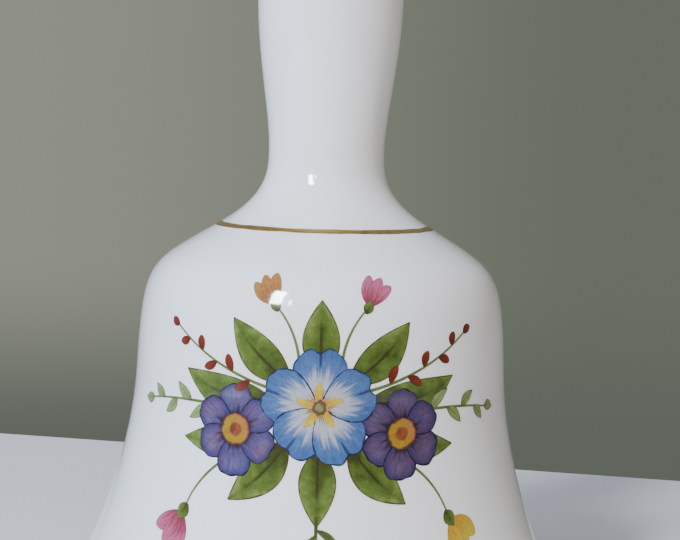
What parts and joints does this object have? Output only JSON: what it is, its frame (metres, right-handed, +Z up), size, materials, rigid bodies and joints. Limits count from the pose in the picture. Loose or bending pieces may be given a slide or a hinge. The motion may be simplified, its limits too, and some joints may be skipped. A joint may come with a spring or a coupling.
{
  "type": "hand bell",
  "caption": "Glazed porcelain hand bell with a flared cup, a hollow rounded handle, gilt lines, a floral print and a bead clapper hung on brass wire.",
  "frame": {"origin": "centre of the flat ring that the rim stands on", "axes": "+Z up along the bell's axis, -Y towards the printed front"},
  "size_m": [0.078, 0.078, 0.111],
  "materials": {
    "glazed_china": "clear gloss glaze over white bone china",
    "gilding": "brushed-on burnished gold line",
    "cork": "matt granular cork",
    "plaster": "matt rough plaster",
    "brass_wire": "drawn wire, lightly tarnished",
    "bead_china": "gloss glaze",
    "print_blue": "fired enamel print under gloss",
    "print_violet": "fired enamel print under gloss",
    "print_yellow": "fired enamel print under gloss",
    "print_green": "fired enamel print under gloss",
    "print_rust": "fired enamel print under gloss",
    "print_pink": "fired enamel print under gloss"
  },
  "bodies": {
    "bell": {"bell_cup": "glazed_china", "handle": "glazed_china", "gilt_shoulder_line": "gilding", "gilt_rim_line": "gilding", "hanger_plug": "cork", "plug_cement": "plaster", "hanger_washer": "brass_wire"},
    "hanger": {"hanger_eye": "brass_wire"},
    "clapper": {"clapper_wire": "brass_wire", "clapper_crimp": "brass_wire"},
    "bead": {"clapper_bead": "bead_china"}
  },
  "joints": [
    {"name": "hanger_swivel", "type": "hinge", "parent": "bell", "child": "hanger", "pos_m": [0, 0, 0.051], "axis": [0, 0, 1], "continuous": true},
    {"name": "clapper_swing", "type": "hinge", "parent": "hanger", "child": "clapper", "pos_m": [0, 0, 0.0504], "axis": [1, 0, 0], "range_deg": [-36, 36]},
    {"name": "bead_spin", "type": "hinge", "parent": "clapper", "child": "bead", "pos_m": [0, 0, 0.016], "axis": [0, 0, 1], "continuous": true}
  ]
}
